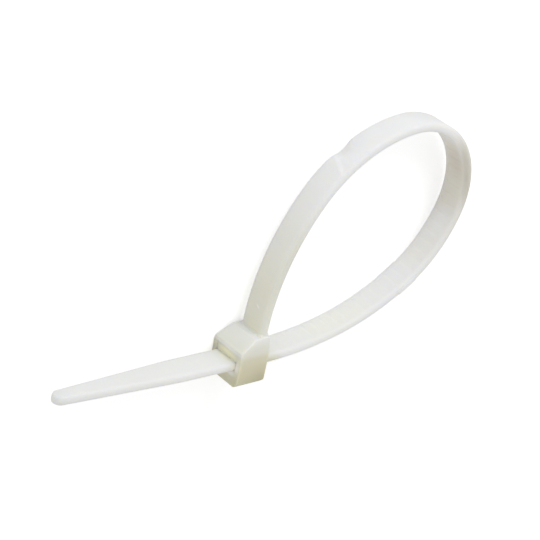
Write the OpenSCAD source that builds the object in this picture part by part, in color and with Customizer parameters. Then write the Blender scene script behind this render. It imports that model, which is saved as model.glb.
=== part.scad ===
// Cable tie, closed into a loop. Millimetres, +Z up.
// The tie lies on its side: X runs from the head into the loop, Y towards the
// root of the strap, Z across the strap's width. Z = 0 is the floor, and the
// origin is under the middle of the head's slot. The modules measure X from the
// slot's mouth instead, and the last one moves the whole tie.

/* [Strap] */

// Width of the strap, across its flat faces
strap_w = 2.5; // [2.3:0.1:2.7]
// Thickness of the strap around the loop
strap_t = 0.8; // [0.7:0.05:0.9]

/* [Loop] */

// Size of the loop, as a multiple of the drawn size
loop_scale = 1; // [0.9:0.01:1.2]

/* [Teeth] */

// Distance from one tooth to the next
tooth_pitch = 0.9; // [0.8:0.05:1.2]
// Depth of the notch between two teeth
tooth_depth = 0.22; // [0.12:0.02:0.26]
// Width of the smooth rail on each side of the teeth
rail_w = 0.5; // [0.35:0.05:0.65]
// Length of smooth strap between the root and the first tooth
plain_l = 16.5; // [14:0.5:22]

/* [Tail] */

// Length of the tail past the head
tail_l = 16; // [10:0.5:30]
// Thickness of the smooth tail
tail_t = 0.75; // [0.6:0.05:0.8]
// Length of full-width tail next to the head
tail_full = 5; // [3:0.5:8]
// Width of the tail at its rounded tip
tip_w = 1.3; // [1:0.1:1.8]

/* [Head] */

// Length of the head along the slot
head_l = 2.8; // [2.6:0.1:3.2]
// Width of the head, across the strap
head_w = 3.5; // [3.3:0.1:4]
// Depth of the head's solid side, from the strap's middle
head_back = 1.75; // [1.5:0.05:2]
// Height of the head at the strap's root, from the strap's middle
head_root = 2.3; // [2.1:0.05:2.5]
// Height of the head at the slot's exit, from the strap's middle
head_exit = 1.35; // [1.3:0.05:1.5]
// Height of the head's upright sides, from the strap's middle
head_side = 1.1; // [0.9:0.05:1.2]
// Thickness of the roof over the pawl, at the exit
roof_t = 0.4; // [0.3:0.05:0.45]

/* [Pawl] */

// Play between the strap and the slot's walls
slot_play = 0.12; // [0.1:0.01:0.15]
// Width of the pawl
pawl_w = 2.2; // [1.8:0.1:2.4]
// Width of the pawl's teeth, which stand between the strap's rails
pawl_tooth_w = 1.3; // [1.1:0.1:1.4]
// Thickness of the thin hinge that carries the pawl
hinge_t = 0.25; // [0.2:0.05:0.3]

/* [Marks] */

// Depth of the crease across the strap's outer face, at its deep end
crease_depth = 0.3; // [0.1:0.05:0.35]
// Length of the small moulded pads on the strap's two edges
pad_l = 1.9; // [1.5:0.1:3]
// How far the pads stand out of the edges
pad_proud = 0.08; // [0.05:0.01:0.12]

/* [Hidden] */

$fn = 96;

// Middle of the strap's width above the floor
mid_z = head_w / 2;
// How far a cutting shape reaches past what it cuts
over = 1;
// Radius and angle of each arc of the loop, from the slot round to the root
arc_r = [30.4, 20.4, 10.7, 6.65, 6.65, 11.8, 19.2];
arc_a = [13, 21.5, 40, 55.5, 57.5, 49, 33.5];
n_arcs = len(arc_r);

// Heading, and X and Y travelled, at the start of arc i
function heading(i) = i == 0 ? 0 : heading(i - 1) + arc_a[i - 1];
function arc_dx(i) = arc_r[i] * loop_scale * (sin(heading(i + 1)) - sin(heading(i)));
function arc_dy(i) = arc_r[i] * loop_scale * (cos(heading(i)) - cos(heading(i + 1)));
function run_x(i) = i == 0 ? 0 : run_x(i - 1) + arc_dx(i - 1);
function run_y(i) = i == 0 ? 0 : run_y(i - 1) + arc_dy(i - 1);
function arc_l(i) = arc_r[i] * loop_scale * arc_a[i] * PI / 180;

// The root's inner face is level with the slot's mouth, so that a short
// straight length next to the mouth closes the loop
root_x = -strap_t / 2;
lead_l = root_x - run_x(n_arcs);
root_y = run_y(n_arcs);

// Length along the strap's middle from the mouth to the start of arc i
function arc_s(i) = i == 0 ? lead_l : arc_s(i - 1) + arc_l(i - 1);
loop_l = arc_s(n_arcs);

// Arc that holds a length s, and heading and position there. Before the first
// arc the strap runs straight along X, and after the last one straight down
// into the head
function arc_at(s, i = 0) = i == n_arcs - 1 || s < arc_s(i + 1) ? i : arc_at(s, i + 1);
function on_arc(s) = s > lead_l && s < loop_l;
function turned(s, i) = (s - arc_s(i)) / (arc_r[i] * loop_scale) * 180 / PI;
function angle_on(s, i) = heading(i) + turned(s, i);
function angle_at(s) = on_arc(s) ? angle_on(s, arc_at(s)) : s > lead_l ? 270 : 0;
function x_on(s, i) = lead_l + run_x(i) + arc_r[i] * loop_scale * (sin(angle_on(s, i)) - sin(heading(i)));
function y_on(s, i) = run_y(i) + arc_r[i] * loop_scale * (cos(heading(i)) - cos(angle_on(s, i)));
function x_at(s) = on_arc(s) ? x_on(s, arc_at(s)) : s > lead_l ? root_x : s;
function y_at(s) = on_arc(s) ? y_on(s, arc_at(s)) : s > lead_l ? root_y - (s - loop_l) : 0;

// The loop's far end has one radius, so a round bundle seats in it. The middle
// and the radius of that seat, which is pressed a hair into the inner face
seat_press = 0.01;
seat_arc = 3;
seat_x = lead_l + run_x(seat_arc) - arc_r[seat_arc] * loop_scale * sin(heading(seat_arc));
seat_y = run_y(seat_arc) + arc_r[seat_arc] * loop_scale * cos(heading(seat_arc));
seat_r = arc_r[seat_arc] * loop_scale - strap_t / 2 + seat_press;

// Point beside the strap's middle at a length s, off to the loop's inside
function beside(s, off) = [x_at(s) - off * sin(angle_at(s)), y_at(s) + off * cos(angle_at(s))];

// Lengths at which the strap's outline has a point
root_sunk = 0.4;
s_root = loop_l + root_y - head_root + root_sunk;
n_steps = ceil(loop_l / 0.35);
stations = [
    -head_l,
    for (k = [0:n_steps]) lead_l + (loop_l - lead_l) * k / n_steps,
    s_root
];
n_st = len(stations);

// Places something on the strap's middle at a length s: X along the strap,
// Y towards the inside of the loop
module on_strap(s)
    translate([x_at(s), y_at(s), mid_z])
        rotate([0, 0, angle_at(s)])
            children();

// The strap from the slot's exit round the loop into the head's root side
module strap()
    translate([0, 0, mid_z - strap_w / 2])
        linear_extrude(strap_w)
            polygon([
                for (k = [0:n_st - 1]) beside(stations[k], -strap_t / 2),
                for (k = [n_st - 1:-1:0]) beside(stations[k], strap_t / 2)
            ]);

// Notch between two teeth: steep wall towards the tail, ramp towards the root
module notch()
    translate([0, 0, -(strap_w / 2 - rail_w)])
        linear_extrude(strap_w - 2 * rail_w)
            polygon([
                [0, strap_t / 2 - tooth_depth],
                [0.15 * tooth_pitch, strap_t / 2 - tooth_depth],
                [0.85 * tooth_pitch, strap_t / 2 + 0.02],
                [0.85 * tooth_pitch, strap_t / 2 + 0.2],
                [0, strap_t / 2 + 0.2]
            ]);

first_tooth = -floor(head_l / tooth_pitch);
last_tooth = floor((loop_l - plain_l) / tooth_pitch) - 1;

// Upward lean of the tail, in degrees, and its length inside the strap
tail_lift = 0.8;
tail_in = 0.4;
// The two pads sit at the same length on both edges
pad_s = 15;
// Length from the root to the crease, its width at the face and at its floor,
// and its lean and turn, in degrees
crease_s = 15.3;
crease_w = 1.8;
crease_floor_w = 0.2;
crease_tilt = 5;
crease_turn = 24;
// Length of flat next to the root, before the slope, and its fall
root_flat = 0.6;
root_fall = 0.08;
// Leg of the small web in the corner between the root and the flat
root_web = 0.3;
// Width of the bevel beside the root, and of the bevel along the back
shoulder_w = 0.25;
back_bevel = 0.35;
// Wall between the mouth and the pawl's chamber, and the chamber's far side
mouth_wall = 0.55;
chamber_top = head_exit - roof_t;
// The pawl stops short of the exit and of the roof, and its teeth keep clear of
// the strap
pawl_tip = -head_l + 0.2;
pawl_room = 0.1;
pawl_gap = 0.06;

// The smooth tail past the head: full width, then tapering to a round tip
module tail() {
    r = tip_w / 2;
    w = strap_w / 2;
    translate([-head_l, -tail_t / 2, mid_z])
        rotate([0, 0, -tail_lift])
            rotate([-90, 0, 0])
                linear_extrude(tail_t) {
                    polygon([
                        [tail_in, -w],
                        [tail_in, w],
                        [-tail_full, w],
                        [-(tail_l - r), r],
                        [-(tail_l - r), -r],
                        [-tail_full, -w]
                    ]);
                    translate([-(tail_l - r), 0])
                        circle(r);
                }
}

// Crease across the loop's outer face, deepest at the lower edge and running
// back towards the root as it crosses the strap
module crease()
    on_strap(loop_l - crease_s)
        translate([0, -strap_t / 2, 0])
            rotate([crease_tilt, crease_turn, 0])
                translate([0, 0, -2 * strap_w])
                    linear_extrude(4 * strap_w)
                        polygon([
                            [-crease_w, -over],
                            [crease_w, -over],
                            [crease_w / 2, 0],
                            [crease_floor_w / 2, crease_depth / 2],
                            [-crease_floor_w / 2, crease_depth / 2],
                            [-crease_w / 2, 0]
                        ]);

// Round seat for a bundle, on the inner face of the loop's far end
module bundle_seat()
    translate([seat_x, seat_y, mid_z])
        cylinder(h = strap_w + 2 * over, r = seat_r, center = true);

// Small moulded pads on both edges of the strap
module pads()
    on_strap(pad_s)
        cube([pad_l, strap_t / 2, strap_w + 2 * pad_proud], center = true);

// Outline of the head seen along Z: solid back, flat mouth and exit faces, and
// a root side that slopes up from the exit to the strap's root
module head_outline()
    polygon([
        [0, -head_back],
        [0, head_root],
        [root_x - strap_t / 2 - root_flat, head_root - root_fall],
        [-head_l, head_exit],
        [-head_l, -head_back]
    ]);

// Wedge that bevels one long edge of the head's root side, along X
module shoulder_cut() {
    run = shoulder_w;
    rise = head_root - head_side;
    translate([-head_l - over, 0, head_w])
        rotate([90, 0, 90])
            linear_extrude(head_l + 2 * over)
                polygon([
                    [head_side, 0],
                    [head_side + 2 * rise, -2 * run],
                    [head_side + 2 * rise, over],
                    [head_side, over]
                ]);
}

// Small web that eases the corner between the strap's root and the head
module web() {
    outer = root_x - strap_t / 2;
    translate([0, 0, mid_z - strap_w / 2])
        linear_extrude(strap_w)
            polygon([
                [outer + root_web, head_root - root_web],
                [outer - root_web, head_root - root_web],
                [outer - root_web, head_root - root_fall / 2],
                [outer, head_root + root_web],
                [outer + root_web, head_root + root_web]
            ]);
}

// Wedge that bevels one long edge of the head's back, along X
module back_cut()
    translate([-head_l - over, -head_back, head_w])
        rotate([45, 0, 0])
            translate([0, -over, -back_bevel * sqrt(0.5)])
                cube([head_l + 2 * over, 2 * over, 2 * over]);

module mirrored_z()
    for (side = [0, 1])
        translate([0, 0, mid_z])
            mirror([0, 0, side])
                translate([0, 0, -mid_z])
                    children();

module head_block()
    difference() {
        linear_extrude(head_w)
            head_outline();
        mirrored_z() {
            shoulder_cut();
            back_cut();
        }
    }

// Slot for the strap, and the chamber beside it that leaves the pawl room
module slot() {
    half_w = strap_w / 2 + slot_play;
    half_t = strap_t / 2 + slot_play;
    translate([-head_l - over, -half_t, mid_z - half_w])
        cube([head_l + 2 * over, 2 * half_t, 2 * half_w]);
    translate([-head_l - over, 0, mid_z - half_w])
        cube([head_l + over - mouth_wall, chamber_top, 2 * half_w]);
}

// Pawl: a tongue carried by a thin hinge at the mouth wall, reaching towards
// the exit, with teeth that stand in the strap's notches
module pawl() {
    top = chamber_top - pawl_room;
    under = strap_t / 2 + slot_play + 0.02;
    translate([0, 0, mid_z - pawl_w / 2])
        linear_extrude(pawl_w)
            polygon([
                [-mouth_wall + 0.2, under + 0.03],
                [-mouth_wall + 0.2, under + 0.03 + hinge_t],
                [-mouth_wall - 0.3, top],
                [pawl_tip, top],
                [pawl_tip - 0.1, under],
                [-mouth_wall - 0.5, under]
            ]);
    translate([0, 0, mid_z - pawl_tooth_w / 2])
        linear_extrude(pawl_tooth_w)
            for (k = [1:2])
                translate([-k * tooth_pitch, 0])
                    polygon([
                        [pawl_gap, under + 0.05],
                        [pawl_gap, strap_t / 2 - tooth_depth + pawl_gap],
                        [0.15 * tooth_pitch, strap_t / 2 - tooth_depth + pawl_gap],
                        [0.85 * tooth_pitch - 0.12, under + 0.05]
                    ]);
}

module cable_tie() {
    color([0.93, 0.93, 0.88])
    translate([head_l / 2, 0, 0]) {
        difference() {
            union() {
                strap();
                pads();
            }
            crease();
            bundle_seat();
            for (k = [first_tooth:last_tooth])
                on_strap(k * tooth_pitch)
                    notch();
        }
        tail();
        web();
        difference() {
            head_block();
            slot();
        }
        pawl();
    }
}

cable_tie();
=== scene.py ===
import math

import bmesh
import bpy
from mathutils import Matrix, Vector


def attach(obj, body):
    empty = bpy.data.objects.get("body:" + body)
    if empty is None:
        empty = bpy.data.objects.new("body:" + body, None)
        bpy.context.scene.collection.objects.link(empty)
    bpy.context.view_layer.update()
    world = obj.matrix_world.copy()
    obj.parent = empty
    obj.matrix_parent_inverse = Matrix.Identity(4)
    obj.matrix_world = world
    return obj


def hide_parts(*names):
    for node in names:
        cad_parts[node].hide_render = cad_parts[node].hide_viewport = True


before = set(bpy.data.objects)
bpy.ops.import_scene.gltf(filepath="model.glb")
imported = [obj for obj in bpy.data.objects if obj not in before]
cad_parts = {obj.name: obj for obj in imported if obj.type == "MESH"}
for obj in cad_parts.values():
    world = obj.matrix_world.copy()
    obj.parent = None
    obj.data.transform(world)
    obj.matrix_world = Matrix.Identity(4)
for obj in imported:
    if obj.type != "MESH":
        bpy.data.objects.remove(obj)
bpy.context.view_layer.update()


# ---- Strap ----
# A flat nylon strap, 2.5 mm wide and 0.8 mm thick, moulded in one shot with the
# head. Its inner face has a ladder of ratchet teeth between two smooth rails,
# and the strap is bent round into the loop and back through the head's slot.
# It is modelled straight and in millimetres, X along it from the slot's mouth,
# Y towards the loop's inside, Z across it.
strap_wide = 2.5
strap_thick = 0.8
strap_edge = 0.3
edge_steps = 5
rail_wide = 0.5
tooth_pitch = 0.9
tooth_deep = 0.04
first_tooth = -3
tooth_count = 48
head_long = 2.8
head_wide = 3.5
strap_middle = head_wide / 2


def let_go():
    """Leaves edit mode and deselects everything."""
    if bpy.context.object and bpy.context.object.mode != "OBJECT":
        bpy.ops.object.mode_set(mode="OBJECT")
    bpy.ops.object.select_all(action="DESELECT")


def take(*pieces):
    """Selects these pieces and makes the first one active."""
    let_go()
    for piece in pieces:
        piece.select_set(True)
    bpy.context.view_layer.objects.active = pieces[0]


def block(name, low, high):
    """A cube primitive between two corners, as the start of a piece."""
    let_go()
    low, high = Vector(low), Vector(high)
    bpy.ops.mesh.primitive_cube_add(size=1, location=(low + high) / 2, scale=high - low)
    bpy.ops.object.transform_apply(location=True, rotation=True, scale=True)
    bpy.context.object.name = name
    return bpy.context.object


def edit(piece):
    """Opens a piece for edit mode work."""
    take(piece)
    bpy.ops.object.mode_set(mode="EDIT")


def pick(kind, wanted):
    """In edit mode, selects the vertices, edges or faces that wanted(part) accepts."""
    bpy.ops.mesh.select_mode(type=kind)
    bpy.ops.mesh.select_all(action="DESELECT")
    net = bmesh.from_edit_mesh(bpy.context.object.data)
    parts = {"VERT": net.verts, "EDGE": net.edges, "FACE": net.faces}[kind]
    for part in parts:
        if wanted(part):
            part.select_set(True)
    net.select_flush_mode()
    bmesh.update_edit_mesh(bpy.context.object.data)


def along(edge, axis):
    """True for an edge that runs along one axis."""
    d = edge.verts[1].co - edge.verts[0].co
    return abs(d[axis]) > 0.99 * d.length


def slice_at(point, normal, **how):
    """Cuts the whole mesh along a plane."""
    bpy.ops.mesh.select_all(action="SELECT")
    bpy.ops.mesh.bisect(plane_co=point, plane_no=normal, threshold=1e-5, **how)


def close_to(a, b, tolerance=1e-3):
    return abs(a - b) < tolerance


# One tooth's length of strap: an open tube with softened long edges
half_thick = strap_thick / 2
half_wide = strap_wide / 2
strap = block(
    "tie_strap", (0, -half_thick, -half_wide), (tooth_pitch, half_thick, half_wide)
)
edit(strap)
pick("FACE", lambda f: abs(f.normal.x) > 0.9)
bpy.ops.mesh.delete(type="FACE")
pick("EDGE", lambda e: along(e, 0))
bpy.ops.mesh.bevel(
    offset=strap_edge, offset_type="OFFSET", segments=edge_steps, affect="EDGES"
)
rail_line = half_wide - rail_wide
for side in (-1, 1):
    slice_at((0, 0, side * rail_line), (0, 0, 1))
slice_at((0, 0, 0), (0, 0, 1))
floor_end = 0.15 * tooth_pitch
ramp_middle = 0.5 * tooth_pitch
ramp_end = 0.85 * tooth_pitch
for cut in (floor_end, ramp_middle, ramp_end):
    slice_at((cut, 0, 0), (1, 0, 0))

# The notch between two teeth is pushed in between the rails. Then its steep wall
# is leant over a little, and its far end is lifted back up into a ramp
wall_lean = 0.1 * tooth_pitch
notch_floor = half_thick - tooth_deep
pick(
    "FACE",
    lambda f: f.normal.y > 0.9
    and abs(f.calc_center_median().z) < rail_line
    and f.calc_center_median().x < ramp_end,
)
bpy.ops.mesh.extrude_region_move(TRANSFORM_OT_translate={"value": (0, -tooth_deep, 0)})
for at, shift in (
    (0, (wall_lean, 0, 0)),
    (ramp_middle, (0, tooth_deep / 2, 0)),
    (ramp_end, (0, tooth_deep, 0)),
):
    pick("VERT", lambda v: close_to(v.co.y, notch_floor) and close_to(v.co.x, at))
    bpy.ops.transform.translate(value=shift)
bpy.ops.mesh.select_all(action="SELECT")
bpy.ops.mesh.remove_doubles(threshold=1e-4)

# The ladder of teeth
bpy.ops.object.mode_set(mode="OBJECT")
ladder = strap.modifiers.new("ladder", "ARRAY")
ladder.count = tooth_count
ladder.use_relative_offset = False
ladder.use_constant_offset = True
ladder.constant_offset_displace = (tooth_pitch, 0, 0)
ladder.use_merge_vertices = True
ladder.merge_threshold = 1e-4
bpy.ops.object.modifier_apply(modifier=ladder.name)
edit(strap)
bpy.ops.mesh.select_all(action="SELECT")
bpy.ops.transform.translate(value=(first_tooth * tooth_pitch, 0, 0))

# The smooth length next to the root is drawn out of the last tooth's end
arc_radius = [30.4, 20.4, 10.7, 6.65, 6.65, 11.8, 19.2]
arc_turn = [13, 21.5, 40, 55.5, 57.5, 49, 33.5]
lead_long = 0.3107
loop_long = lead_long + sum(math.radians(a) * r for r, a in zip(arc_radius, arc_turn))
root_sunk = 0.7
toothed_end = (first_tooth + tooth_count) * tooth_pitch
plain_steps = 40
plain_step = (loop_long + root_sunk - toothed_end) / plain_steps


def open_end(x):
    return lambda edge: edge.is_boundary and all(close_to(v.co.x, x) for v in edge.verts)


pick("EDGE", open_end(toothed_end))
for _ in range(plain_steps):
    bpy.ops.mesh.extrude_region_move(TRANSFORM_OT_translate={"value": (plain_step, 0, 0)})
bpy.ops.mesh.edge_face_add()

# The two small pads on the strap's edges, left where the mould ejects it
pad_middle = 15
pad_long = 1.9
pad_proud = 0.08
for end in (-1, 1):
    slice_at((pad_middle + end * pad_long / 2, 0, 0), (1, 0, 0))
for side in (-1, 1):
    pick(
        "FACE",
        lambda f: f.calc_center_median().z * side > half_wide - 0.01
        and abs(f.calc_center_median().x - pad_middle) < pad_long / 2,
    )
    bpy.ops.mesh.extrude_region_move(
        TRANSFORM_OT_translate={"value": (0, 0, side * pad_proud)}
    )

# The dent at the lower edge of the outer face, where the strap has been bent
# sharply once, and the faint crease that runs back from it across the strap.
# Only the outer face next to the crease line is picked, and what is around it
# follows
crease_middle = loop_long - 15.1
crease_slant = math.tan(math.radians(24))
dent_deep = 0.3
crease_deep = 0.03
next_to = 0.12
for off in (-0.9, -0.7, -0.5, -0.3, -0.1, 0.1, 0.3, 0.5, 0.7, 0.9):
    slice_at((crease_middle + off, 0, 0), (1, 0, -crease_slant))


def crease_line(part):
    return crease_middle + part.co.z * crease_slant


for reach, top, deep in ((1.1, -0.8, dent_deep), (0.35, 0.8, crease_deep)):
    pick(
        "VERT",
        lambda v: v.co.z < top
        and v.co.y < -next_to
        and abs(v.co.x - crease_line(v)) < next_to,
    )
    bpy.ops.transform.translate(
        value=(0, deep, 0),
        use_proportional_edit=True,
        use_proportional_connected=True,
        proportional_edit_falloff="SMOOTH",
        proportional_size=reach,
    )


# ---- Tail ----
# The smooth end of the same strap, past the head: full width for a few
# millimetres, then tapering to a round tip that is easy to thread. It is drawn
# out of the strap's end, and leans up a little where the head grips it.
tail_long = 16
tail_full = 5
tail_thick = 0.75
tip_wide = 1.3
tip_thick = 0.7
tail_lean = 0.8
full_steps = 5
taper_steps = 12
tip_angles = (15, 30, 45, 58, 70, 80, 87)
tip_thinner = 0.25

# The rings of the tail, each with its place along X, its width and its thickness
taper_start = -head_long - tail_full
taper_end = -head_long - tail_long + tip_wide / 2
rings = [(-head_long, strap_wide, strap_thick)]
for part in range(1, full_steps + 1):
    rings.append((-head_long - tail_full * part / full_steps, strap_wide, tail_thick))
for part in range(1, taper_steps + 1):
    share = part / taper_steps
    place = (1 - share) * taper_start + share * taper_end
    wide = (1 - share) * strap_wide + share * tip_wide
    thick = (1 - share) * tail_thick + share * tip_thick
    rings.append((place, wide, thick))
for angle in tip_angles:
    out, across = math.sin(math.radians(angle)), math.cos(math.radians(angle))
    place = taper_end - tip_wide / 2 * out
    thick = tip_thick * (1 - tip_thinner + tip_thinner * across)
    rings.append((place, tip_wide * across, thick))

# Each ring is extruded from the one before, and the last one is closed
at_place, at_wide, at_thick = first_tooth * tooth_pitch, strap_wide, strap_thick
pick("EDGE", open_end(at_place))
for place, wide, thick in rings:
    bpy.ops.mesh.extrude_region_move(
        TRANSFORM_OT_translate={"value": (place - at_place, 0, 0)}
    )
    bpy.ops.transform.resize(
        value=(1, thick / at_thick, wide / at_wide), center_override=(place, 0, 0)
    )
    at_place, at_wide, at_thick = place, wide, thick
bpy.ops.mesh.edge_face_add()
pick("VERT", lambda v: v.co.x < -head_long - 1e-3)
bpy.ops.transform.rotate(
    value=math.radians(tail_lean), orient_axis="Z", center_override=(-head_long, 0, 0)
)

# The whole strap is bent along the loop's arcs. Their line is made of short
# chords and ends with a straight length down into the head
chord_longest = 0.1
into_head = 2
bpy.ops.mesh.select_all(action="SELECT")
bpy.ops.mesh.normals_make_consistent(inside=False)
let_go()
loop_points = [Vector((0, 0, 0)), Vector((lead_long, 0, 0))]
heading = 0.0
for radius, turn in zip(arc_radius, arc_turn):
    steps = math.ceil(math.radians(turn) * radius / chord_longest)
    for _ in range(steps):
        part = math.radians(turn) / steps
        chord = 2 * radius * math.sin(part / 2)
        way = heading + part / 2
        step = chord * Vector((math.cos(way), math.sin(way), 0))
        loop_points.append(loop_points[-1] + step)
        heading += part
loop_points.append(loop_points[-1] + Vector((0, -into_head, 0)))
loop_line = bpy.data.curves.new("loop_line", "CURVE")
loop_line.dimensions = "3D"
loop_line.twist_mode = "Z_UP"
run = loop_line.splines.new("POLY")
run.points.add(len(loop_points) - 1)
for point, place in zip(run.points, loop_points):
    point.co = (*place, 1)
loop_path = bpy.data.objects.new("loop_line", loop_line)
bpy.context.scene.collection.objects.link(loop_path)
take(strap)
bend = strap.modifiers.new("bend", "CURVE")
bend.object = loop_path
bend.deform_axis = "POS_X"
bpy.ops.object.modifier_apply(modifier=bend.name)
bpy.data.objects.remove(loop_path)

# The share of the light that soaks into the nylon, and a millimetre in metres
soak_full = 0.9
mm = 0.001


def nylon(name, soak_deep, axis, low, high, stops):
    """Milky natural nylon: light soaks in and comes out again, and the surface
    is satin, a little uneven, with faint cloudiness from the moulding. Its
    colour changes slowly along one axis, between two places in mm."""
    mat = bpy.data.materials.new(name)
    mat.use_nodes = True
    tree = mat.node_tree
    shader = tree.nodes["Principled BSDF"]
    place = tree.nodes.new("ShaderNodeTexCoord")
    place.name = "place"
    split = tree.nodes.new("ShaderNodeSeparateXYZ")
    share = tree.nodes.new("ShaderNodeMapRange")
    share.inputs["From Min"].default_value = low * mm
    share.inputs["From Max"].default_value = high * mm
    colour = tree.nodes.new("ShaderNodeValToRGB")
    colour.color_ramp.interpolation = "EASE"
    first, last = colour.color_ramp.elements
    for element, (at, tone) in zip((first, last), (stops[0], stops[-1])):
        element.position = (at - low) / (high - low)
        element.color = (*tone, 1)
    for at, tone in stops[1:-1]:
        colour.color_ramp.elements.new((at - low) / (high - low)).color = (*tone, 1)
    cloud = tree.nodes.new("ShaderNodeTexNoise")
    cloud.inputs["Scale"].default_value = 260
    cloud.inputs["Detail"].default_value = 3
    tint = tree.nodes.new("ShaderNodeMix")
    tint.data_type = "RGBA"
    tint.blend_type = "MULTIPLY"
    tint.inputs["B"].default_value = (0.96, 0.96, 0.94, 1)
    grain = tree.nodes.new("ShaderNodeTexNoise")
    grain.inputs["Scale"].default_value = 2600
    grain.inputs["Detail"].default_value = 2
    satin = tree.nodes.new("ShaderNodeMapRange")
    satin.inputs["To Min"].default_value = 0.35
    satin.inputs["To Max"].default_value = 0.55
    bump = tree.nodes.new("ShaderNodeBump")
    bump.inputs["Strength"].default_value = 0.1
    bump.inputs["Distance"].default_value = 0.00002
    link = tree.links.new
    link(place.outputs["Object"], split.inputs[0])
    link(split.outputs[axis], share.inputs["Value"])
    link(share.outputs["Result"], colour.inputs["Fac"])
    link(place.outputs["Object"], cloud.inputs["Vector"])
    link(place.outputs["Object"], grain.inputs["Vector"])
    link(cloud.outputs["Fac"], tint.inputs["Factor"])
    link(colour.outputs["Color"], tint.inputs["A"])
    link(tint.outputs["Result"], shader.inputs["Base Color"])
    link(cloud.outputs["Fac"], satin.inputs["Value"])
    link(satin.outputs["Result"], shader.inputs["Roughness"])
    link(grain.outputs["Fac"], bump.inputs["Height"])
    link(bump.outputs["Normal"], shader.inputs["Normal"])
    shader.inputs["Subsurface Weight"].default_value = soak_full
    shader.inputs["Subsurface Radius"].default_value = (1.0, 0.9, 0.7)
    shader.inputs["Subsurface Scale"].default_value = soak_deep
    shader.inputs["IOR"].default_value = 1.5
    shader.inputs["Specular IOR Level"].default_value = 0.25
    return mat


def patch(mat, middle, size, amount, turn=0, slant=0, tone=(1, 1, 1), dry=True):
    """Another tone inside a rounded patch, by default white, for stress marks and
    painted highlights. The middle and the three half sizes are in mm. It is turned
    about Z and slanted about Y, in degrees. Light doesn't soak into a dry one."""
    tree = mat.node_tree
    shader = tree.nodes["Principled BSDF"]
    before = shader.inputs["Base Color"].links[0].from_socket
    where = tree.nodes.new("ShaderNodeMapping")
    where.vector_type = "TEXTURE"
    where.inputs["Location"].default_value = Vector(middle) * mm
    where.inputs["Rotation"].default_value = (0, math.radians(slant), math.radians(turn))
    where.inputs["Scale"].default_value = Vector(size) * mm
    far = tree.nodes.new("ShaderNodeVectorMath")
    far.operation = "LENGTH"
    fade = tree.nodes.new("ShaderNodeMapRange")
    fade.interpolation_type = "SMOOTHSTEP"
    fade.inputs["From Min"].default_value = 0.1
    fade.inputs["To Min"].default_value = amount
    fade.inputs["To Max"].default_value = 0
    mark = tree.nodes.new("ShaderNodeMix")
    mark.data_type = "RGBA"
    mark.inputs["B"].default_value = (*tone, 1)
    tree.links.new(tree.nodes["place"].outputs["Object"], where.inputs["Vector"])
    tree.links.new(where.outputs["Vector"], far.inputs[0])
    tree.links.new(far.outputs["Value"], fade.inputs["Value"])
    tree.links.new(fade.outputs["Result"], mark.inputs["Factor"])
    tree.links.new(before, mark.inputs["A"])
    tree.links.new(mark.outputs["Result"], shader.inputs["Base Color"])
    if not dry:
        return
    soak = tree.nodes.new("ShaderNodeMath")
    soak.operation = "MULTIPLY_ADD"
    soak.inputs[1].default_value = -soak_full
    soak.inputs[2].default_value = soak_full
    tree.links.new(fade.outputs["Result"], soak.inputs[0])
    least = tree.nodes.new("ShaderNodeMath")
    least.operation = "MINIMUM"
    least.inputs[1].default_value = soak_full
    weight = shader.inputs["Subsurface Weight"]
    if weight.links:
        tree.links.new(weight.links[0].from_socket, least.inputs[1])
    tree.links.new(soak.outputs[0], least.inputs[0])
    tree.links.new(least.outputs[0], weight)


# The strap's colour carries painted shade: a touch darker and warmer beside the
# head and at the loop's far end
strap_nylon = nylon(
    "nylon_strap",
    soak_deep=0.002,
    axis=0,
    low=-18,
    high=21,
    stops=(
        (-18, (0.76, 0.78, 0.77)),
        (-15.5, (0.845, 0.85, 0.84)),
        (-3, (0.87, 0.875, 0.85)),
        (0.6, (0.81, 0.805, 0.72)),
        (2, (0.845, 0.845, 0.795)),
        (3.4, (0.885, 0.885, 0.865)),
        (5, (0.90, 0.905, 0.89)),
        (8.5, (0.90, 0.905, 0.90)),
        (15.5, (0.90, 0.90, 0.89)),
        (18, (0.86, 0.85, 0.82)),
        (20, (0.77, 0.75, 0.71)),
    ),
)

# The crease is white, in two lengths, partly stress whitening and partly a painted
# highlight, and painted light makes the nylon round the dent a touch paler and cooler
mark_slant = 26.565
patch(strap_nylon, (5.87, 15.54, 2.3), (0.34, 0.6, 1.0), 1, turn=222, slant=mark_slant)
patch(strap_nylon, (6.21, 15.84, 1.4), (0.3, 0.6, 1.2), 0.7, turn=222, slant=mark_slant)
patch(strap_nylon, (6.6, 16.3, 1.7), (0.9, 0.8, 1.6), 0.6, tone=(0.95, 1, 1), dry=False)

# White marks: a small pale one on the root branch, two small painted highlights
# at the near edge of the loop's top, painted light on the strap where it is gripped
# at the exit, and a painted highlight on the near pad
patch(strap_nylon, (0.70, 4.37, 1.9), (0.13, 0.3, 0.35), 0.6, turn=264, slant=32)
patch(strap_nylon, (8.65, 17.42, 2.92), (0.4, 0.3, 0.25), 0.5, turn=206)
patch(strap_nylon, (12.3, 18.56, 2.9), (0.5, 0.3, 0.25), 0.4, turn=188)
patch(strap_nylon, (-1.55, 0, 3.1), (0.5, 0.7, 0.35), 0.9, tone=(1, 0.98, 0.90))
patch(strap_nylon, (15.7, 4.1, 3.1), (1.0, 0.3, 0.25), 0.8, turn=39)
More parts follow.
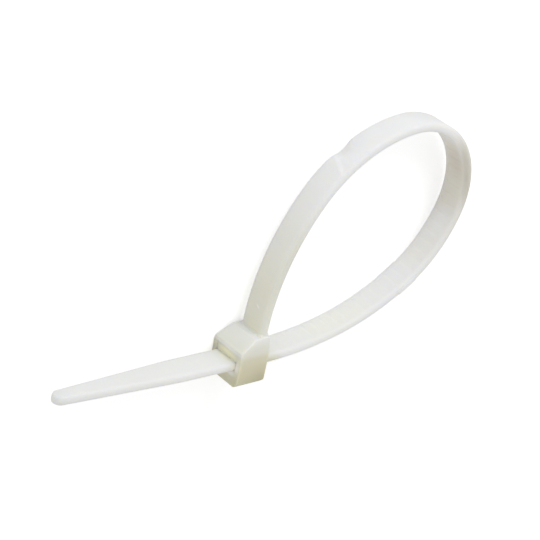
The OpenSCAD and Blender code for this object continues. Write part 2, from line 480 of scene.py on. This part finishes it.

# Painted shade and light on the strap: painted shade on the loop's far end and on
# its upper edge there, and on the outer face of the loop's top; a painted paler
# length after the far end; painted shade on the strap at the mouth; painted yellow
# light from the head on the strap at the exit; painted shade on the root's near
# edge; and a yellower length of the lower branch
for middle, size, amount, turn, tone in (
    ((18.9, 14.4, 1.9), (3.2, 1.2, 1.7), 0.36, 118, (0.50, 0.445, 0.41)),
    ((19.35, 13.4, 3.1), (7.0, 1.3, 0.5), 0.7, 112, (0.45, 0.44, 0.40)),
    ((15.6, 18.2, 1.1), (4.6, 0.9, 2.0), 0.3, 166, (0.62, 0.62, 0.61)),
    ((18.7, 9.0, 1.8), (2.4, 1.0, 2.0), 0.45, 80, (0.95, 0.97, 1.0)),
    ((2.2, -0.1, 3.05), (1.6, 0.6, 0.6), 0.6, 0, (0.60, 0.58, 0.40)),
    ((-1.5, 0, 1.75), (0.9, 0.9, 2.4), 0.7, 0, (0.88, 0.85, 0.60)),
    ((1.9, 8.6, 3.15), (7.5, 1.7, 0.6), 0.5, 73, (0.62, 0.62, 0.52)),
    ((9.1, 1.3, 1.9), (5.5, 1.6, 2.6), 0.5, 16, (0.94, 0.94, 0.77)),
):
    patch(strap_nylon, middle, size, amount, turn=turn, tone=tone, dry=False)
strap.data.materials.append(strap_nylon)


# ---- Head ----
# The ratchet head, moulded on the strap's root: a block with a slot for the
# strap, a solid back, and a root side that slopes up to where the strap leaves
# it. The nylon is thick here, so it looks yellower than the strap, and its colour
# also carries painted shade.
head_back = 1.75
head_root = 2.3
head_exit = 1.35
head_side = 1.1
root_flat = strap_thick + 0.6
root_fall = 0.08
shoulder = 0.25
back_bevel = 0.35
slot_play = 0.004
slot_edge_steps = 4
past = 1
mouth_wall = 0.55
chamber_roof = head_exit - 0.4
chamber_floor = half_thick - 0.05


def middle_of(edge):
    return (edge.verts[0].co + edge.verts[1].co) / 2


# The mouth face stands a hair proud of the strap, so that the two fuse cleanly
mouth_proud = 0.01
head = block(
    "tie_head",
    (-head_long, -head_back, -strap_middle),
    (mouth_proud, head_root, strap_middle),
)
edit(head)
slice_at((-root_flat, 0, 0), (1, 0, 0))
pick("VERT", lambda v: v.co.y > 0 and close_to(v.co.x, -head_long))
bpy.ops.transform.translate(value=(0, head_exit - head_root, 0))
pick("VERT", lambda v: v.co.y > 0 and close_to(v.co.x, -root_flat))
bpy.ops.transform.translate(value=(0, -root_fall, 0))
rise = head_root - head_side
for side in (-1, 1):
    slice_at(
        (0, head_side, side * strap_middle),
        (0, shoulder, side * rise),
        clear_outer=True,
        use_fill=True,
    )
pick(
    "EDGE",
    lambda e: along(e, 0)
    and close_to(middle_of(e).y, -head_back)
    and close_to(abs(middle_of(e).z), strap_middle),
)
bpy.ops.mesh.bevel(offset=back_bevel, segments=1, affect="EDGES")
bpy.ops.mesh.select_all(action="SELECT")
bpy.ops.mesh.normals_make_consistent(inside=False)


def soften(piece, wide, segments):
    """Rounds the sharp edges as the mould leaves them."""
    take(piece)
    soft = piece.modifiers.new("soft", "BEVEL")
    soft.width = wide
    soft.segments = segments
    soft.limit_method = "ANGLE"
    soft.angle_limit = math.radians(20)
    bpy.ops.object.modifier_apply(modifier=soft.name)


soften(head, wide=0.1, segments=3)


def combine(piece, other, how, nylon_from="INDEX"):
    """Cuts a second piece out of the first, or fuses it on. INDEX keeps the
    first one's nylon, and TRANSFER lets each keep its own."""
    take(piece)
    join = piece.modifiers.new("join", "BOOLEAN")
    join.operation = how
    join.solver = "EXACT"
    join.material_mode = nylon_from
    join.object = other
    bpy.ops.object.modifier_apply(modifier=join.name)
    bpy.data.objects.remove(other)


slot_half_wide = half_wide + slot_play
slot_half_thick = half_thick + slot_play
slot = block(
    "slot",
    (-head_long - past, -slot_half_thick, -slot_half_wide),
    (past, slot_half_thick, slot_half_wide),
)
edit(slot)
pick("EDGE", lambda e: along(e, 0))
bpy.ops.mesh.bevel(
    offset=strap_edge, offset_type="OFFSET", segments=slot_edge_steps, affect="EDGES"
)
let_go()
combine(head, slot, "DIFFERENCE")
chamber = block(
    "chamber",
    (-head_long - past, chamber_floor, -slot_half_wide),
    (-mouth_wall, chamber_roof, slot_half_wide),
)
combine(head, chamber, "DIFFERENCE")

# The skirt round the strap's foot, where the mould's corner is rounded out. It
# stands out all round the strap below, and ends just inside the strap above
foot_out = 0.12
foot_in = 0.02
foot_low = head_root - root_fall - 0.05
foot_high = head_root + foot_out
foot_thick = strap_thick + foot_out - foot_in
foot_wide = strap_wide + 2 * foot_out
foot = block(
    "foot",
    (-strap_thick - foot_out, foot_low, -foot_wide / 2),
    (-foot_in, foot_high, foot_wide / 2),
)
edit(foot)
pick("VERT", lambda v: v.co.y > head_root)
top_thick = strap_thick - 2 * foot_in
top_wide = strap_wide - 2 * foot_in
bpy.ops.transform.resize(
    value=(top_thick / foot_thick, 1, top_wide / foot_wide),
    center_override=(-foot_in, foot_high, 0),
)
soften(foot, wide=0.04, segments=2)
combine(head, foot, "UNION")


# ---- Pawl ----
# The tongue that holds the strap, moulded with the head: it hangs on a thin
# hinge at the mouth wall and reaches towards the exit. Its teeth are out of
# sight in the slot, so only the solids have them.
pawl_wide = 2 * slot_half_wide - 0.02
pawl_roof = chamber_roof - 0.015
pawl_under = half_thick - 0.04
pawl_tip = -head_long + 0.05
tip_lean = 0.04
hinge_root = -mouth_wall + 0.2
hinge_end = -mouth_wall - 0.4
hinge_rise = 0.1
hinge_roof = pawl_under + 0.28
pawl = block(
    "pawl", (pawl_tip, pawl_under, -pawl_wide / 2), (hinge_root, pawl_roof, pawl_wide / 2)
)
edit(pawl)
slice_at((hinge_end, 0, 0), (1, 0, 0))

# The hinge end is made thin, and the tip leans out over the strap
for x, y, shift in (
    (hinge_root, pawl_under, (0, hinge_rise, 0)),
    (hinge_root, pawl_roof, (0, hinge_roof - pawl_roof, 0)),
    (pawl_tip, pawl_under, (-tip_lean, 0, 0)),
):
    pick("VERT", lambda v: close_to(v.co.x, x) and close_to(v.co.y, y))
    bpy.ops.transform.translate(value=shift)
soften(pawl, wide=0.02, segments=2)
combine(head, pawl, "UNION")

# The head's colour is paler on the root side, which faces the lamp, and darker and
# yellower towards the back: partly the thick nylon's own tone, partly painted shade
head_nylon = nylon(
    "nylon_head",
    soak_deep=0.0006,
    axis=1,
    low=-1.8,
    high=2.6,
    stops=(
        (-1.8, (0.63, 0.62, 0.445)),
        (-0.4, (0.73, 0.69, 0.51)),
        (0.6, (0.77, 0.74, 0.58)),
        (1.3, (0.84, 0.84, 0.77)),
        (2.2, (0.87, 0.88, 0.85)),
        (2.6, (0.86, 0.86, 0.81)),
    ),
)

# It is also painted paler on the exit face, as painted light that lifts the shade
# there: all over, on the pawl's end, beside the slot, over the pawl and under the
# tail. Painted shade makes it deeper at the near foot of the mouth
for middle, size, amount, tone in (
    ((-1.4, -0.3, 1.75), (0.35, 2.6, 2.6), 0.55, (0.95, 0.93, 0.79)),
    ((-1.4, 0.75, 1.75), (0.3, 0.45, 2.2), 0.9, (1, 0.98, 0.72)),
    ((-1.4, 0, 3.15), (0.4, 0.9, 0.35), 1, (1, 0.97, 0.88)),
    ((-1.4, 1.15, 1.75), (0.3, 0.24, 2.4), 0.9, (1, 1, 0.97)),
    ((-1.4, -0.65, 2.5), (0.3, 0.4, 0.8), 0.9, (1, 1, 0.95)),
):
    patch(head_nylon, middle, size, amount, tone=tone)
mouth_foot_shade = (0.45, 0.42, 0.26)
patch(head_nylon, (1.4, -1.75, 3.5), (2.6, 2.2, 1.5), 0.45, tone=mouth_foot_shade, dry=False)
head.data.materials.append(head_nylon)

# The head and the strap are one moulding, so they are fused at the root
combine(strap, head, "UNION", "TRANSFER")
edit(strap)
bpy.ops.mesh.select_all(action="SELECT")
bpy.ops.mesh.remove_doubles(threshold=2e-4)
bpy.ops.mesh.dissolve_degenerate(threshold=1e-4)
let_go()


def settle(piece):
    """Moves a finished piece from the slot's mouth to its place, in metres."""
    take(piece)
    bpy.ops.object.mode_set(mode="EDIT")
    bpy.ops.mesh.select_all(action="SELECT")
    bpy.ops.transform.translate(value=(head_long / 2, 0, strap_middle))
    bpy.ops.transform.resize(value=(mm, mm, mm), center_override=(0, 0, 0))
    bpy.ops.object.mode_set(mode="OBJECT")
    bpy.ops.object.shade_smooth_by_angle(angle=math.radians(35))
    # Flat faces keep their flat look beside the small rounded edges
    even = piece.modifiers.new("even", "WEIGHTED_NORMAL")
    even.weight = 80
    even.keep_sharp = True
    bpy.ops.object.modifier_apply(modifier=even.name)


settle(strap)
strap.name = "cable_tie_nylon"
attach(strap, "root")
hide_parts("cable_tie")


# ---- Floor, light and camera ----
# A white sheet to lie on, which the camera sees a little brighter than it is, a
# pale surround that is white behind everything, one soft lamp on the strap's
# root side, and the photograph's view down onto the loop.
bpy.ops.mesh.primitive_plane_add(size=3, location=(0, 0, 0))
floor = bpy.context.object
floor.name = "floor"
paper = bpy.data.materials.new("white_paper")
paper.use_nodes = True
tree = paper.node_tree
tree.nodes.clear()
out = tree.nodes.new("ShaderNodeOutputMaterial")
matt = tree.nodes.new("ShaderNodeBsdfDiffuse")
matt.inputs["Color"].default_value = (0.9, 0.9, 0.9, 1)
glow = tree.nodes.new("ShaderNodeEmission")
glow.inputs["Color"].default_value = (1, 1, 1, 1)
ray = tree.nodes.new("ShaderNodeLightPath")
seen = tree.nodes.new("ShaderNodeMath")
seen.operation = "MULTIPLY"
seen.inputs[1].default_value = 0.42
both = tree.nodes.new("ShaderNodeAddShader")
tree.links.new(ray.outputs["Is Camera Ray"], seen.inputs[0])
tree.links.new(seen.outputs[0], glow.inputs["Strength"])
tree.links.new(matt.outputs[0], both.inputs[0])
tree.links.new(glow.outputs[0], both.inputs[1])
tree.links.new(both.outputs[0], out.inputs["Surface"])
floor.data.materials.append(paper)

world = bpy.data.worlds.new("studio")
bpy.context.scene.world = world
world.use_nodes = True
tree = world.node_tree
tree.nodes.clear()
out = tree.nodes.new("ShaderNodeOutputWorld")
plain = tree.nodes.new("ShaderNodeBackground")
plain.inputs["Color"].default_value = (1, 1, 1, 1)
plain.inputs["Strength"].default_value = 0.66
white = tree.nodes.new("ShaderNodeBackground")
white.inputs["Color"].default_value = (1, 1, 1, 1)
ray = tree.nodes.new("ShaderNodeLightPath")
which = tree.nodes.new("ShaderNodeMixShader")
tree.links.new(ray.outputs["Is Camera Ray"], which.inputs["Fac"])
tree.links.new(plain.outputs[0], which.inputs[1])
tree.links.new(white.outputs[0], which.inputs[2])
tree.links.new(which.outputs[0], out.inputs["Surface"])

lamp_data = bpy.data.lights.new("root_side_lamp", "AREA")
lamp_data.size = 0.25
lamp_data.energy = 0.68
lamp = bpy.data.objects.new("root_side_lamp", lamp_data)
bpy.context.scene.collection.objects.link(lamp)
lamp.location = (0.05, 0.42, 0.22)
lamp_aim = Vector((0.005, 0.005, 0))
lamp.rotation_euler = (lamp_aim - lamp.location).to_track_quat("-Z", "Y").to_euler()

camera = bpy.data.objects.new("camera", bpy.data.cameras.new("camera"))
bpy.context.scene.collection.objects.link(camera)
bpy.context.scene.camera = camera
right = Vector((0.76161, 0.18698, 0.62048))
up = Vector((0.16180, 0.87229, -0.46145))
back = Vector((-0.62751, 0.45184, 0.63409))
turned = Matrix((right, up, back)).transposed()
camera.matrix_world = Matrix.Translation((-0.092322, 0.074779, 0.096339)) @ turned.to_4x4()
camera.data.sensor_width = 36
camera.data.lens = 130.949
camera.data.clip_start = 0.01
camera.data.clip_end = 10
bpy.context.scene.view_settings.view_transform = "Standard"
